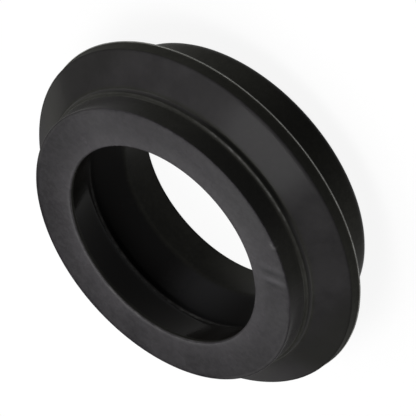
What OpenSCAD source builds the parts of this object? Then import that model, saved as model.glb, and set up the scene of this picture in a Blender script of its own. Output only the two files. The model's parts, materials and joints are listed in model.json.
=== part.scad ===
// Moulded rubber pipe seal: a stepped ring with a flange and a double-lipped bore.
// It stands on its rear face, with the pipe's axis on Z and the front face up.
// Lengths along the axis run from the front face to the rear.

/* [Bore] */
// Diameter of the pipe that the front lip and the rear land grip
pipe_d = 32; // [28:0.5:40]
// Length of the front lip, from the front face to its back edge
lip_len = 6.5; // [5.5:0.05:7]
// Straight mouth of the front lip, from the front face
mouth_len = 0.5; // [0.4:0.05:1.5]
// How far the front lip widens from its mouth to its back bevel, on the radius
lip_flare = 1.1; // [0.5:0.05:2]
// Length of the bevel at the front lip's back edge
lip_bevel_len = 1; // [0.6:0.05:1.5]
// Width of that bevel, on the radius
lip_bevel_w = 0.45; // [0.2:0.05:0.7]
// How far the recess steps out behind the front lip, on the radius
recess_step = 0.45; // [0.3:0.05:0.8]
// Straight land that grips the pipe at the rear
land_len = 4.8; // [3:0.1:5.5]

/* [Front neck] */
// Thickness of the neck's wall at the mouth
neck_wall = 6.2; // [5.5:0.05:8]
// Straight length of the neck
neck_len = 3.2; // [2.8:0.05:4.5]
// Step from the neck out to the collar, on the radius
collar_step = 0.45; // [0.3:0.05:1]
// Length of the bevel on that step
bevel_len = 0.3; // [0.2:0.05:0.6]
// Straight length of the collar
collar_len = 0.75; // [0.6:0.05:1.2]

/* [Flange] */
// How far the rim stands out from the collar, on the radius
flange_w = 4.65; // [3:0.05:8]
// Length of the flange's conical front
cone_len = 2.85; // [2:0.05:4]
// Straight length of the rim
rim_len = 1.65; // [1.2:0.05:3.5]
// Width of the moulding flash around the rim's back edge
flash_w = 0.2; // [0.1:0.05:0.5]
// Length of the flash's sloping front
flash_slope_len = 0.12; // [0.05:0.01:0.3]
// Thickness of the flash at its edge
flash_t = 0.13; // [0.05:0.01:0.3]

/* [Rear body] */
// Length of the rear body, from the flange's back to the rear face
rear_len = 8.2; // [7:0.05:12]
// Thickness of the rear body's wall around the land
rear_wall = 6.75; // [6:0.05:8]

/* [Edges] */
// Radius of the front face's edge at the mouth
mouth_edge_r = 0.3; // [0.1:0.05:0.35]
// Radius of the front face's outer edge
front_edge_r = 0.25; // [0.1:0.05:0.5]
// Radius of the edge between the flange's cone and its rim
rim_edge_r = 0.4; // [0.1:0.05:0.8]
// Radius of the fillet between the collar and the flange's cone
collar_root_r = 0.3; // [0.1:0.05:0.5]
// Radius of the fillet between the flange's back and the rear body
flange_root_r = 0.8; // [0.2:0.1:1.5]
// Radius of the rear body's lead-in edge
rear_edge_r = 1.4; // [0.5:0.1:2]
// Radius of the bore's rear edge
rear_bore_r = 0.2; // [0.1:0.05:0.8]
// Radius of the crest between the recess and the rear land
land_edge_r = 1.5; // [0.5:0.1:2]

/* [Hidden] */
$fn = 96;
bore_r = pipe_d / 2;
lip_r = bore_r + lip_flare;
lip_back_r = lip_r + lip_bevel_w;
recess_r = lip_back_r + recess_step;
neck_r = bore_r + neck_wall;
collar_r = neck_r + collar_step;
rim_r = collar_r + flange_w;
flash_r = rim_r + flash_w;
rear_r = bore_r + rear_wall;

// The rounding in the recess's corner is a share of the step, so that it fits at any slope of the walls
recess_root_r = recess_step * 0.35;
// How far a rounding arc crosses the sides that it runs into, so that it never just misses them
arc_crossing = 0.0001;

// Heights above the rear face, from the rear up
flange_back_z = rear_len;
flash_edge_z = flange_back_z + flash_t;
flash_root_z = flash_edge_z + flash_slope_len;
cone_base_z = flash_root_z + rim_len;
cone_top_z = cone_base_z + cone_len;
bevel_base_z = cone_top_z + collar_len;
bevel_top_z = bevel_base_z + bevel_len;
front_z = bevel_top_z + neck_len;
lip_back_z = front_z - lip_len;

// The ring's section, counter-clockwise, as [radius, height, radius of that corner's rounding]
section_corners = [
    [bore_r, 0, rear_bore_r],
    [rear_r, 0, rear_edge_r],
    [rear_r, flange_back_z, flange_root_r],
    [flash_r, flange_back_z, 0],
    [flash_r, flash_edge_z, 0],
    [rim_r, flash_root_z, 0],
    [rim_r, cone_base_z, rim_edge_r],
    [collar_r, cone_top_z, collar_root_r],
    [collar_r, bevel_base_z, 0],
    [neck_r, bevel_top_z, 0],
    [neck_r, front_z, front_edge_r],
    [bore_r, front_z, mouth_edge_r],
    [bore_r, front_z - mouth_len, 0],
    [lip_r, lip_back_z + lip_bevel_len, 0],
    [lip_back_r, lip_back_z, 0],
    [recess_r, lip_back_z, recess_root_r],
    [bore_r, land_len, land_edge_r]
];

function unit(v) = v / norm(v);
function place(corner) = [corner[0], corner[1]];
function neighbour(corners, i, step) = place(corners[(i + step + len(corners)) % len(corners)]);
function turn(before, at, after) = cross(at - before, after - at);

// Area between a corner and the arc that rounds it, carried past the corner to cut or fill cleanly
module corner_area(before, at, after, r) {
    to_before = unit(before - at);
    to_after = unit(after - at);
    inward = unit(to_before + to_after);
    half_angle = acos(to_before * to_after) / 2;
    centre = at + inward * (r / sin(half_angle) - arc_crossing);
    reach = r / tan(half_angle);
    difference() {
        polygon([at - inward * r / 2, at + to_before * reach, centre, at + to_after * reach]);
        translate(centre) circle(r);
    }
}

// Rounding areas of all the convex corners, or of all the concave ones
module corner_areas(corners, convex) {
    for (i = [0 : len(corners) - 1]) {
        before = neighbour(corners, i, -1);
        at = neighbour(corners, i, 0);
        after = neighbour(corners, i, 1);
        is_convex = turn(before, at, after) > 0;
        if (corners[i][2] > 0 && is_convex == convex)
            corner_area(before, at, after, corners[i][2]);
    }
}

// Closed outline with true arcs at its rounded corners
module rounded_section(corners) {
    difference() {
        union() {
            polygon([for (corner = corners) place(corner)]);
            corner_areas(corners, false);
        }
        corner_areas(corners, true);
    }
}

// The seal, one rubber moulding
module seal_ring() {
    color("#333333")
        rotate_extrude() rounded_section(section_corners);
}

seal_ring();
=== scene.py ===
import json
import math

import bpy
from mathutils import Matrix, Vector


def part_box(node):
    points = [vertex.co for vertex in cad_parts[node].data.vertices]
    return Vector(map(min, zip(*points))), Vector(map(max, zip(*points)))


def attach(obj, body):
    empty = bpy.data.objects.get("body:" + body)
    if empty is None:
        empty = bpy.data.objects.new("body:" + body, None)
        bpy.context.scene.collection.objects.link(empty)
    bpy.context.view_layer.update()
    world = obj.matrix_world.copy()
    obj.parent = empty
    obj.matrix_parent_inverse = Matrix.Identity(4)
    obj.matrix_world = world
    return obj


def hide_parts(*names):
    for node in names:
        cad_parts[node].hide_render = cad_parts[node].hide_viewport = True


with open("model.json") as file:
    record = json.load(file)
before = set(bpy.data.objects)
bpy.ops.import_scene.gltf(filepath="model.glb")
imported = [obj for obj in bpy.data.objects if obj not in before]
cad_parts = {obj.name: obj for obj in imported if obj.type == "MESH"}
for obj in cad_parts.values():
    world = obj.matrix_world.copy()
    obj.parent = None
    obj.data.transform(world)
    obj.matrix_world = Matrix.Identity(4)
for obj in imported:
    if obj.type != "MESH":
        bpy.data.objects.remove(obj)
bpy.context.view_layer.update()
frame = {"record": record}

# Seal ring: the whole seal, one moulding of black rubber with a satin skin.
# A two-part mould gives its stepped section, which is the same all the way round, and leaves a fine
# ragged fin of flash where the mould's halves meet, at the back edge of the flange's rim.
MM = 0.001
mounts = {mount["name"]: mount for mount in frame["record"]["mounts"]}
_, node_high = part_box("seal_ring")
flash_r = node_high[0]
front_z = node_high[2]
bore_r = mounts["pipe_bore"]["dims"]["r_mm"] * MM
rear_r = mounts["socket_spigot"]["dims"]["r_mm"] * MM
flange_back_z = mounts["flange_back"]["pos_m"][2]

mouth_z = front_z - 0.5 * MM
lip_back_z = front_z - 6.5 * MM
lip_bevel_z = lip_back_z + 1.25 * MM
lip_r = bore_r + 1.045 * MM
lip_back_r = bore_r + 1.55 * MM
recess_r = lip_back_r + 0.45 * MM
land_z = 4.8 * MM

neck_r = bore_r + 6.2 * MM
collar_r = neck_r + 0.45 * MM
bevel_top_z = front_z - 3.2 * MM
bevel_base_z = bevel_top_z - 0.3 * MM
cone_top_z = bevel_base_z - 0.75 * MM
cone_base_z = cone_top_z - 2.85 * MM
rim_r = flash_r - 0.2 * MM
flash_edge_z = flange_back_z + 0.13 * MM
flash_root_z = flash_edge_z + 0.12 * MM

# The section's corners, clockwise from the rear edge of the bore: radius, height and rounding
section_corners = [
    (bore_r, 0.0, 0.2 * MM),
    (bore_r, land_z, 1.5 * MM),
    (recess_r, lip_back_z, 0.16 * MM),
    (lip_back_r, lip_back_z, 0.05 * MM),
    (lip_r, lip_bevel_z, 5.0 * MM),
    (bore_r, mouth_z, 0.5 * MM),
    (bore_r, front_z, 0.3 * MM),
    (neck_r, front_z, 0.17 * MM),
    (neck_r, bevel_top_z, 0.3 * MM),
    (collar_r, bevel_base_z, 0.25 * MM),
    (collar_r, cone_top_z, 0.4 * MM),
    (rim_r, cone_base_z, 0.4 * MM),
    (rim_r, flash_root_z, 0.06 * MM),
    (flash_r, flash_edge_z, 0.03 * MM),
    (flash_r, flange_back_z, 0.03 * MM),
    (rear_r, flange_back_z, 0.8 * MM),
    (rear_r, 0.0, 1.4 * MM),
]


class Value:
    """A socket that carries a number. Arithmetic on it adds Math nodes to its tree."""

    def __init__(self, graph, socket):
        self.graph = graph
        self.socket = socket

    def __add__(self, other):
        return self.graph.math("ADD", self, other)

    def __radd__(self, other):
        return self.graph.math("ADD", other, self)

    def __sub__(self, other):
        return self.graph.math("SUBTRACT", self, other)

    def __rsub__(self, other):
        return self.graph.math("SUBTRACT", other, self)

    def __mul__(self, other):
        return self.graph.math("MULTIPLY", self, other)

    def __rmul__(self, other):
        return self.graph.math("MULTIPLY", other, self)

    def __truediv__(self, other):
        return self.graph.math("DIVIDE", self, other)

    def __rtruediv__(self, other):
        return self.graph.math("DIVIDE", other, self)

    def __gt__(self, other):
        return self.graph.math("GREATER_THAN", self, other)


class Graph:
    """A node tree that is written as expressions."""

    def __init__(self, tree):
        self.tree = tree

    def add(self, kind, settings, sockets):
        """One node: its type, its settings, and the values or links of its sockets."""
        made = self.tree.nodes.new(kind)
        for name, setting in settings.items():
            setattr(made, name, setting)
        for key, value in sockets.items():
            if isinstance(value, Value):
                value = value.socket
            if isinstance(value, bpy.types.NodeSocket):
                self.tree.links.new(value, made.inputs[key])
            else:
                made.inputs[key].default_value = value
        return made

    def value(self, made, output=0):
        return Value(self, made.outputs[output])

    def axes(self, vector):
        """The X, Y and Z values of a vector."""
        made = self.add("ShaderNodeSeparateXYZ", {}, {"Vector": vector})
        return [self.value(made, axis) for axis in "XYZ"]

    def math(self, operation, *operands):
        made = self.add("ShaderNodeMath", {"operation": operation}, dict(enumerate(operands)))
        return self.value(made)

    def noise(self, place, scale, detail, roughness):
        sockets = {"Vector": place, "Scale": scale, "Detail": detail, "Roughness": roughness}
        return self.value(self.add("ShaderNodeTexNoise", {}, sockets))

    def smooth(self, value, low, high):
        """0 at low, 1 at high, with a soft rise between them."""
        made = self.add(
            "ShaderNodeMapRange",
            {"interpolation_type": "SMOOTHSTEP"},
            {"Value": value, "From Min": low, "From Max": high},
        )
        return self.value(made)

    def band(self, value, centre, reach):
        """1 at the centre, falling softly to 0 at its reach on either side."""
        return self.smooth(self.math("ABSOLUTE", value - centre), reach, 0.0)

    def near(self, place, centre, reach):
        """1 at a point, falling softly to 0 at its reach."""
        gap = self.add("ShaderNodeVectorMath", {"operation": "DISTANCE"}, {0: place, 1: centre})
        return self.smooth(self.value(gap, "Value"), reach, 0.0)

    def mix_color(self, factor, first, second):
        """From the first colour at factor 0 to the second at 1."""
        made = self.add("ShaderNodeMix", {"data_type": "RGBA"}, {0: factor, 6: first, 7: second})
        return made.outputs[2]


# The tree that turns the section: round its corners, divide its long sides, sweep it round the axis,
# trim the flash unevenly and let the skin sink a little here and there, as moulded rubber does
turn_tree = bpy.data.node_groups.new("Turned ring", "GeometryNodeTree")
turn_tree.interface.new_socket("Geometry", in_out="OUTPUT", socket_type="NodeSocketGeometry")
turn_tree.interface.new_socket("Section", in_out="INPUT", socket_type="NodeSocketGeometry")
turn_inputs = {
    "Sweep Radius": ("NodeSocketFloat", rear_r),
    "Segments": ("NodeSocketInt", 320),
    "Arc Steps": ("NodeSocketInt", 6),
    "Longest Step": ("NodeSocketFloat", 0.6 * MM),
    "Flash From": ("NodeSocketFloat", rim_r + 0.05 * MM),
    "Flash Raggedness": ("NodeSocketFloat", 0.05 * MM),
    "Flash Grain": ("NodeSocketFloat", 260.0),
    "Skin Sink": ("NodeSocketFloat", 0.03 * MM),
    "Skin Grain": ("NodeSocketFloat", 140.0),
    "Rubber": ("NodeSocketMaterial", None),
}
for name, (kind, _) in turn_inputs.items():
    turn_tree.interface.new_socket(name, in_out="INPUT", socket_type=kind)
turn = Graph(turn_tree)
given = turn.add("NodeGroupInput", {}, {}).outputs

rounding = turn.add("GeometryNodeInputNamedAttribute", {"data_type": "FLOAT"}, {"Name": "rounding"})
outline = turn.add("GeometryNodeMeshToCurve", {}, {"Mesh": given["Section"]})
rounded = turn.add(
    "GeometryNodeFilletCurve",
    {"mode": "POLY"},
    {
        "Curve": outline.outputs[0],
        "Count": given["Arc Steps"],
        "Radius": rounding.outputs["Attribute"],
    },
)
here = turn.add("GeometryNodeInputPosition", {}, {}).outputs[0]
next_point = turn.add("GeometryNodeOffsetPointInCurve", {}, {"Offset": 1})
there = turn.add(
    "GeometryNodeFieldAtIndex",
    {"data_type": "FLOAT_VECTOR"},
    {"Index": next_point.outputs["Point Index"], "Value": here},
)
side = turn.add("ShaderNodeVectorMath", {"operation": "DISTANCE"}, {0: here, 1: there.outputs[0]})
cuts = turn.math("FLOOR", turn.value(side, "Value") / Value(turn, given["Longest Step"]))
divided = turn.add("GeometryNodeSubdivideCurve", {}, {"Curve": rounded.outputs[0], "Cuts": cuts})
circle = turn.add(
    "GeometryNodeCurvePrimitiveCircle",
    {"mode": "RADIUS"},
    {"Resolution": given["Segments"], "Radius": given["Sweep Radius"]},
)
swept = turn.add(
    "GeometryNodeCurveToMesh",
    {},
    {"Curve": circle.outputs[0], "Profile Curve": divided.outputs[0]},
)
x, y, _ = turn.axes(here)
reach = turn.math("SQRT", x * x + y * y)
flash_noise = turn.noise(here, given["Flash Grain"], detail=3.0, roughness=0.6)
on_flash = reach > Value(turn, given["Flash From"])
trim = on_flash * flash_noise * Value(turn, given["Flash Raggedness"]) * -1.0
outward = turn.add("ShaderNodeCombineXYZ", {}, {"X": x / reach, "Y": y / reach, "Z": 0.0})
trim_offset = turn.add(
    "ShaderNodeVectorMath",
    {"operation": "SCALE"},
    {0: outward.outputs[0], "Scale": trim},
)
trimmed = turn.add(
    "GeometryNodeSetPosition",
    {},
    {"Geometry": swept.outputs[0], "Offset": trim_offset.outputs[0]},
)
skin_noise = turn.noise(here, given["Skin Grain"], detail=2.0, roughness=0.5)
sink = skin_noise * Value(turn, given["Skin Sink"]) * -1.0
facing = turn.add("GeometryNodeInputNormal", {}, {}).outputs[0]
sink_offset = turn.add("ShaderNodeVectorMath", {"operation": "SCALE"}, {0: facing, "Scale": sink})
sunk = turn.add(
    "GeometryNodeSetPosition",
    {},
    {"Geometry": trimmed.outputs[0], "Offset": sink_offset.outputs[0]},
)
shaded = turn.add("GeometryNodeSetShadeSmooth", {}, {0: sunk.outputs[0]})
realized = turn.add("GeometryNodeRealizeInstances", {}, {0: shaded.outputs[0]})
dressed = turn.add(
    "GeometryNodeSetMaterial",
    {},
    {"Geometry": realized.outputs[0], "Material": given["Rubber"]},
)
turn.add("NodeGroupOutput", {}, {0: dressed.outputs[0]})

# Rubber: black and satin, with a thin violet-grey bloom in clouds on the front face and the cone.
# The rim, the rear body and the land are olive and the rim is matt, the front lip is glossy, edges that
# rub are paler with wear and painted highlights, painted light and shade lie on the lip, recess, land,
# cone, collar, neck and face, and a wipe mark and a scuff lie on the front face.
rubber = bpy.data.materials.new("rubber")
rubber.use_nodes = True
rubber.node_tree.nodes.clear()
skin = Graph(rubber.node_tree)
spot = skin.add("ShaderNodeTexCoord", {}, {}).outputs["Object"]
out_x, out_y, high = skin.axes(spot)
out = skin.math("SQRT", out_x * out_x + out_y * out_y)
from_middle = skin.math("ABSOLUTE", out_x)

noise_span = (0.36, 0.64)
clouds = skin.smooth(skin.noise(spot, 120.0, detail=4.0, roughness=0.6), *noise_span)
speckle = skin.smooth(skin.noise(spot, 1300.0, detail=3.0, roughness=0.75), *noise_span)
drift = skin.smooth(skin.noise(spot, 45.0, detail=1.0, roughness=0.5), *noise_span)
nicks = skin.smooth(skin.noise(spot, 900.0, detail=3.0, roughness=0.5), 0.42, 0.68)
mottle = clouds * 0.45 + speckle * 0.3 + drift * 0.25
color = skin.mix_color(mottle, (0.0155, 0.0154, 0.0132, 1), (0.027, 0.0268, 0.0235, 1))

# Recess: painted shade, with one patch of painted light
below_lip = skin.smooth(high, lip_back_z + 0.1 * MM, lip_back_z)
above_land = skin.smooth(high, land_z, land_z + 0.8 * MM)
recess = below_lip * above_land * skin.smooth(out, recess_r + 0.2 * MM, recess_r)
recess_lit_patch = skin.band(out_x, -8.5 * MM, 6.5 * MM)
recess_painted_shade = (0.0128, 0.0125, 0.0124, 1)
recess_painted_light = (0.034, 0.0337, 0.035, 1)
color = skin.mix_color(recess, color, skin.mix_color(recess_lit_patch, recess_painted_shade, recess_painted_light))

# Front lip: glossy, painted dark as shade, and darker still on one side as painted shade
lip_low = skin.smooth(high, lip_back_z, lip_back_z + 0.2 * MM)
lip_high = skin.smooth(high, mouth_z, mouth_z - 0.3 * MM)
lip_wall = skin.smooth(out, recess_r, lip_back_r + 0.1 * MM)
glossy_lip = lip_low * lip_high * lip_wall
lip_shaded_side = skin.band(out_x, 10.5 * MM, 8.0 * MM)
lip_shade_color = skin.mix_color(lip_shaded_side, (0.0098, 0.0088, 0.0079, 1), (0.003, 0.0026, 0.0016, 1))
color = skin.mix_color(glossy_lip, color, lip_shade_color)

# Rim, rear body and land: olive, with painted light on the land towards its ends
at_rim = skin.smooth(out, rim_r - 0.5 * MM, rim_r - 0.2 * MM)
rim = at_rim * skin.smooth(high, cone_base_z, cone_base_z - 0.4 * MM)
land = skin.smooth(out, recess_r, bore_r + 0.5 * MM) * skin.smooth(high, land_z + 0.6 * MM, 0.0)
below_flange = skin.smooth(high, flange_back_z + 0.1 * MM, flange_back_z)
rear = skin.smooth(out, recess_r, recess_r + 1.0 * MM) * below_flange
olive_share = skin.math("MAXIMUM", rim * 0.35, skin.math("MAXIMUM", land, rear) * 0.85)
olive = skin.mix_color(mottle, (0.03, 0.0296, 0.0254, 1), (0.052, 0.0513, 0.0442, 1))
color = skin.mix_color(olive_share, color, olive)
# Painted light: the land paler towards its ends
lit_land_right = skin.smooth(out_x, -4.0 * MM, -12.0 * MM)
lit_land_left = skin.smooth(out_x, 6.0 * MM, 14.0 * MM) * 0.3
color = skin.mix_color(land * (lit_land_right + lit_land_left), color, (0.1, 0.0985, 0.087, 1))

# Cone: bloom in clouds, a painted highlight on one side, painted shade at both ends, and a patch by
# each end of the neck
above_rim = skin.smooth(high, cone_base_z - 0.3 * MM, cone_base_z)
cone = skin.smooth(out, collar_r + 0.1 * MM, collar_r + 0.6 * MM) * above_rim
cone_highlight_side = skin.band(out_x, 11.0 * MM, 12.0 * MM)
thin_place = skin.near(spot, (-16.5 * MM, -19.5 * MM, cone_base_z), 7.0 * MM)
cone_bloom_and_highlight = skin.mix_color(
    clouds * 0.4 + drift * 0.2 + speckle * 0.1 + cone_highlight_side * 0.3 - thin_place * 0.3,
    (0.0155, 0.0148, 0.0153, 1),
    (0.033, 0.0315, 0.0325, 1),
)
color = skin.mix_color(cone, color, cone_bloom_and_highlight)
# Painted shade: the cone darker at both ends on the near side
shaded_cone_right = skin.smooth(out_x, -20.0 * MM, -25.0 * MM)
shaded_cone_left = skin.smooth(out_x, 20.0 * MM, 25.0 * MM) * 0.5
shaded_cone_ends = (shaded_cone_right + shaded_cone_left) * skin.smooth(out_y, 5.0 * MM, 0.0)
color = skin.mix_color(cone * shaded_cone_ends * 0.75, color, (0.012, 0.012, 0.0104, 1))
patch_right = skin.band(out_x, -22.5 * MM, 2.0 * MM) * 0.4
patch_left = skin.smooth(out_x, 19.0 * MM, 22.0 * MM)
cone_patch = (patch_right + patch_left) * skin.band(out_y, 7.0 * MM, 9.0 * MM)
color = skin.mix_color(cone * cone_patch * 0.45, color, (0.038, 0.038, 0.0335, 1))

# Front face: bloom in clouds, with a painted highlight that grows towards the bore and in two broad
# patches, and painted light at the outer edge's ends
front = skin.smooth(high, front_z - 0.3 * MM, front_z - 0.05 * MM)
sheen_near_bore = skin.smooth(out, bore_r + 3.5 * MM, bore_r + 0.4 * MM)
right_sheen = skin.near(spot, (-9.0 * MM, -15.5 * MM, front_z), 7.0 * MM)
left_sheen = skin.near(spot, (17.0 * MM, -7.0 * MM, front_z), 9.0 * MM)
even_bloom = clouds * 0.2 + speckle * 0.2 + drift * 0.12
front_bloom_and_sheen = skin.mix_color(
    even_bloom + sheen_near_bore * 0.3 + right_sheen * 0.22 + left_sheen * 0.14,
    (0.0097, 0.009, 0.01, 1),
    (0.0422, 0.0395, 0.0428, 1),
)
color = skin.mix_color(front, color, front_bloom_and_sheen)
# Painted light at the outer edge's ends, against the shade of its rounding
face_edge = front * skin.band(out, neck_r - 0.35 * MM, 0.35 * MM)
lit_face_edge_ends = face_edge * skin.smooth(from_middle, 18.0 * MM, 20.5 * MM)
color = skin.mix_color(lit_face_edge_ends * 0.33, color, (0.06, 0.0585, 0.0585, 1))

# Wipe mark: two pale streaks with dark ones beside them, across the front face
wipe_place = skin.add(
    "ShaderNodeMapping",
    {"vector_type": "TEXTURE"},
    {
        "Vector": spot,
        "Location": (-13.6 * MM, -14.2 * MM, 0),
        "Rotation": (0, 0, math.radians(220.5)),
    },
)
along, aside, _ = skin.axes(wipe_place.outputs[0])
wiped = front * skin.band(along, 0.0, 3.4 * MM)
wipe_pale = skin.band(aside, 0.0, 0.75 * MM) + skin.band(aside, 2.2 * MM, 0.7 * MM) * 0.5
wipe_short = skin.band(aside, -0.85 * MM, 0.5 * MM) * skin.band(along, -0.3 * MM, 1.6 * MM)
wipe_dark = skin.band(aside, 1.2 * MM, 0.55 * MM) + wipe_short
color = skin.mix_color(wiped * wipe_pale * 0.8, color, (0.048, 0.046, 0.05, 1))
color = skin.mix_color(wiped * wipe_dark * 0.8, color, (0.009, 0.009, 0.0105, 1))

# Collar and neck: painted shade in the middle of each side, painted light towards the ends and most at
# one of them
middle = skin.smooth(from_middle, 11.0 * MM, 6.0 * MM)
groove = skin.band(out, collar_r, 0.25 * MM) * skin.band(high, cone_top_z + 0.25 * MM, 0.5 * MM)
groove_shade_and_light = skin.mix_color(middle, (0.045, 0.0432, 0.0438, 1), (0.008, 0.008, 0.0075, 1))
color = skin.mix_color(groove * 0.8, color, groove_shade_and_light)
neck_low = skin.smooth(high, bevel_top_z, bevel_top_z + 0.3 * MM)
neck_high = skin.smooth(high, front_z, front_z - 0.2 * MM)
wall = skin.smooth(out, neck_r - 0.2 * MM, neck_r - 0.05 * MM)
neck = wall * neck_low * neck_high
lit_neck_ends = skin.smooth(from_middle, 14.0 * MM, 20.0 * MM)
# Painted shade on the neck in the middle of each side, painted light towards its ends
color = skin.mix_color(neck * middle * 0.3, color, (0.006, 0.006, 0.006, 1))
color = skin.mix_color(neck * lit_neck_ends * 0.7, color, (0.045, 0.0432, 0.044, 1))
above_cone = skin.smooth(high, cone_top_z, cone_top_z + 0.3 * MM)
# Painted light at one end of the neck, the bevel and the collar
lit_wall_tip = wall * above_cone * skin.smooth(out_x, 19.0 * MM, 21.5 * MM)
color = skin.mix_color(lit_wall_tip * 0.25, color, (0.06, 0.0595, 0.0545, 1))

# Edges: paler wear and a painted highlight at the mouth and the bevel, a painted highlight on the lip's
# back edge, and a scuff on the front face's outer edge
mouth_line = skin.band(out, bore_r + 0.2 * MM, 0.45 * MM) * skin.band(high, front_z, 0.28 * MM)
mouth_edge = mouth_line * skin.band(out_x, 0.0, 22.0 * MM)
bevel_height = skin.band(high, bevel_base_z + 0.15 * MM, 0.25 * MM)
bevel_edge = skin.band(out, collar_r, 0.35 * MM) * bevel_height * (0.13 + middle * 0.87)
rubbed_and_highlight = skin.math("MAXIMUM", mouth_edge * 0.25, bevel_edge) * (0.3 + nicks * 0.7)
color = skin.mix_color(rubbed_and_highlight, color, (0.17, 0.168, 0.1643, 1))
# Painted highlight along the lip's back edge
lip_edge = skin.band(high, lip_back_z + 0.5 * MM, 0.6 * MM) * lip_wall
lip_highlight_span = skin.band(out_x, 0.0, 18.0 * MM) + skin.band(out_x, -10.0 * MM, 4.0 * MM) * 0.6
lip_edge_highlight = lip_edge * lip_highlight_span * (0.5 + nicks * 0.5)
color = skin.mix_color(lip_edge_highlight, color, (0.24, 0.236, 0.23, 1))
scuff = skin.near(spot, (-10.0 * MM, -19.7 * MM, front_z), 1.0 * MM)
color = skin.mix_color(scuff * nicks * 0.7, color, (0.12, 0.12, 0.118, 1))

# Flash: pale and torn
flash = skin.smooth(out, rim_r + 0.06 * MM, rim_r + 0.1 * MM)
flash_color = skin.mix_color(nicks, (0.15, 0.15, 0.141, 1), (0.22, 0.22, 0.208, 1))
color = skin.mix_color(flash, color, flash_color)

# Finish: satin, with a matt rim, a duller outer edge and step ends, and a glossier lip and bevel
matt_rim = skin.smooth(out, rim_r - 0.5 * MM, rim_r - 0.1 * MM) * (1 - flash)
steps = skin.smooth(out, neck_r + 0.02 * MM, neck_r + 0.1 * MM) * above_rim
matt_ends = steps * skin.smooth(from_middle, 12.0 * MM, 22.0 * MM)
outer_edge = skin.band(out, neck_r, 0.25 * MM) * skin.band(high, front_z, 0.25 * MM)
duller = clouds * 0.08 + matt_rim * 0.4 + matt_ends * 0.25 + outer_edge * 0.2
glossier = glossy_lip * 0.1 + bevel_edge * 0.1
grain = skin.noise(spot, 2600.0, detail=2.0, roughness=0.5)
bump = skin.add(
    "ShaderNodeBump",
    {},
    {"Strength": 0.12, "Distance": 0.05 * MM, "Height": grain},
)
shader = skin.add(
    "ShaderNodeBsdfPrincipled",
    {},
    {
        "Base Color": color,
        "Roughness": 0.2 + duller - glossier,
        "Specular IOR Level": 0.037,
        "Normal": bump.outputs[0],
    },
)
skin.add("ShaderNodeOutputMaterial", {}, {"Surface": shader.outputs[0]})

# The section's outline as a mesh, which the tree turns into the ring
section_mesh = bpy.data.meshes.new("seal_section")
corner_count = len(section_corners)
section_mesh.from_pydata(
    [(r - rear_r, -z, 0.0) for r, z, _ in section_corners],
    [(i, (i + 1) % corner_count) for i in range(corner_count)],
    [],
)
rounding_layer = section_mesh.attributes.new("rounding", "FLOAT", "POINT")
rounding_layer.data.foreach_set("value", [radius for _, _, radius in section_corners])
section = bpy.data.objects.new("seal_section", section_mesh)
bpy.context.scene.collection.objects.link(section)
turning = section.modifiers.new("Turned ring", "NODES")
turning.node_group = turn_tree
for item in turn_tree.interface.items_tree:
    if item.name in turn_inputs:
        turning[item.identifier] = rubber if item.name == "Rubber" else turn_inputs[item.name][1]
evaluated = section.evaluated_get(bpy.context.evaluated_depsgraph_get())
ring_mesh = bpy.data.meshes.new_from_object(evaluated)
bpy.data.objects.remove(section)
ring = bpy.data.objects.new("seal_ring_rubber", ring_mesh)
bpy.context.scene.collection.objects.link(ring)
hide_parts("seal_ring")
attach(ring, "root")

# Floor: a plain pale table that the seal stands on, with a low far edge that hides the horizon.
# It is white to the camera and greyer in reflections, returns little light and keeps the shadow.
floor_half = 20.0
floor_edge_h = 1.5
floor_z = -0.02 * MM
floor_grey = (0.08, 0.08, 0.08, 1)
floor_glow = 0.9
mirrored_share = 0.66
floor_corners = ((-1, -1), (1, -1), (1, 1), (-1, 1))
floor_points = [
    (side_x * floor_half, side_y * floor_half, z)
    for z in (floor_z, floor_edge_h)
    for side_x, side_y in floor_corners
]
floor_sides = [(i, i + 4, (i + 1) % 4 + 4, (i + 1) % 4) for i in range(4)]
floor_mesh = bpy.data.meshes.new("floor")
floor_mesh.from_pydata(floor_points, [], [(0, 1, 2, 3)] + floor_sides)
floor = bpy.data.objects.new("floor", floor_mesh)
bpy.context.scene.collection.objects.link(floor)
pale = bpy.data.materials.new("pale_floor")
pale.use_nodes = True
pale.node_tree.nodes.clear()
ground = Graph(pale.node_tree)
rays = ground.add("ShaderNodeLightPath", {}, {})
mirrored = ground.value(rays, "Is Glossy Ray") + ground.value(rays, "Is Transmission Ray")
seen = ground.value(rays, "Is Camera Ray") + mirrored * mirrored_share
table = ground.add("ShaderNodeBsdfDiffuse", {}, {"Color": floor_grey})
glow = ground.add("ShaderNodeEmission", {}, {"Color": (1, 1, 1, 1), "Strength": seen * floor_glow})
both = ground.add("ShaderNodeAddShader", {}, {0: table.outputs[0], 1: glow.outputs[0]})
ground.add("ShaderNodeOutputMaterial", {}, {"Surface": both.outputs[0]})
floor_mesh.materials.append(pale)

# Studio: a softbox overhead inside a broad dim ceiling, a small panel behind the seal for its front
# face, one panel at either side for its walls, and a dim even surround.
surround = bpy.data.worlds.new("surround")
surround.use_nodes = True
surround.node_tree.nodes.clear()
air = Graph(surround.node_tree)
sky = air.add("ShaderNodeBackground", {}, {"Color": (1, 1, 1, 1), "Strength": 0.05})
air.add("ShaderNodeOutputWorld", {}, {"Surface": sky.outputs[0]})
bpy.context.scene.world = surround


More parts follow.
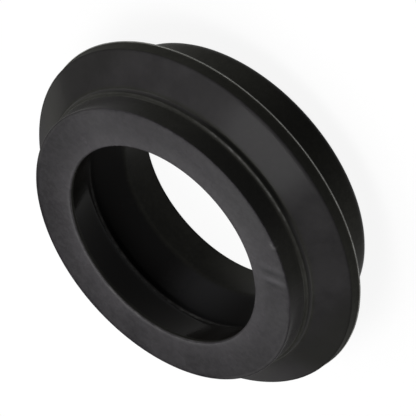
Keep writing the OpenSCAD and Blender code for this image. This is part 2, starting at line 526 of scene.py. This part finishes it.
def softbox(name, back_angle, side_angle, distance, width, depth, radiance):
    """A panel lamp that faces the seal, tipped back from overhead and to one side, in degrees."""
    lamp = bpy.data.lights.new(name, "AREA")
    lamp.shape = "RECTANGLE"
    lamp.size = width
    lamp.size_y = depth
    lamp.energy = radiance * math.pi * width * depth
    panel = bpy.data.objects.new(name, lamp)
    panel.visible_camera = False
    tipped_back = Matrix.Rotation(math.radians(-back_angle), 4, "X")
    tipped_aside = Matrix.Rotation(math.radians(side_angle), 4, "Y")
    centre = Matrix.Translation((0, 0, front_z / 2))
    panel.matrix_world = centre @ tipped_aside @ tipped_back @ Matrix.Translation((0, 0, distance))
    bpy.context.scene.collection.objects.link(panel)


softbox("overhead", back_angle=-10, side_angle=0.5, distance=1.0, width=0.54, depth=0.28, radiance=12.3)
softbox("ceiling", back_angle=18, side_angle=2, distance=1.0, width=1.6, depth=1.1, radiance=1.5)
softbox("back_panel", back_angle=48, side_angle=0, distance=0.2, width=0.06, depth=0.045, radiance=6.0)
softbox("left_panel", back_angle=0, side_angle=72, distance=0.5, width=0.25, depth=0.25, radiance=5.4)
softbox("right_panel", back_angle=0, side_angle=-72, distance=0.5, width=0.25, depth=0.25, radiance=4.9)

# Camera: a long lens that looks down on the front face, rolled so that the seal's axis runs up to
# the right. It is placed by the pixel of the front face's centre in a square picture.
image_px = 416
focal_px = 8000
mm_per_px = 0.1376
face_centre_px = (161.7, 245.2)
elevation = math.radians(35.6)
roll = math.radians(-131.335)
level_right = Vector((1, 0, 0))
level_up = Vector((0, math.sin(elevation), math.cos(elevation)))
toward_camera = Vector((0, -math.cos(elevation), math.sin(elevation)))
right = level_right * math.cos(roll) + level_up * math.sin(roll)
up = level_up * math.cos(roll) - level_right * math.sin(roll)
offset_right = (face_centre_px[0] - image_px / 2) * mm_per_px * MM
offset_up = (image_px / 2 - face_centre_px[1]) * mm_per_px * MM
distance = focal_px * mm_per_px * MM
face_centre = Vector((0, 0, front_z))
camera_place = face_centre + toward_camera * distance - right * offset_right - up * offset_up
lens = bpy.data.cameras.new("camera")
lens.sensor_width = 36
lens.lens = focal_px / image_px * lens.sensor_width
lens.clip_end = 50
camera = bpy.data.objects.new("camera", lens)
basis = Matrix((right, up, toward_camera)).transposed()
camera.matrix_world = Matrix.Translation(camera_place) @ basis.to_4x4()
bpy.context.scene.collection.objects.link(camera)
bpy.context.scene.camera = camera
bpy.context.scene.view_settings.view_transform = "Standard"
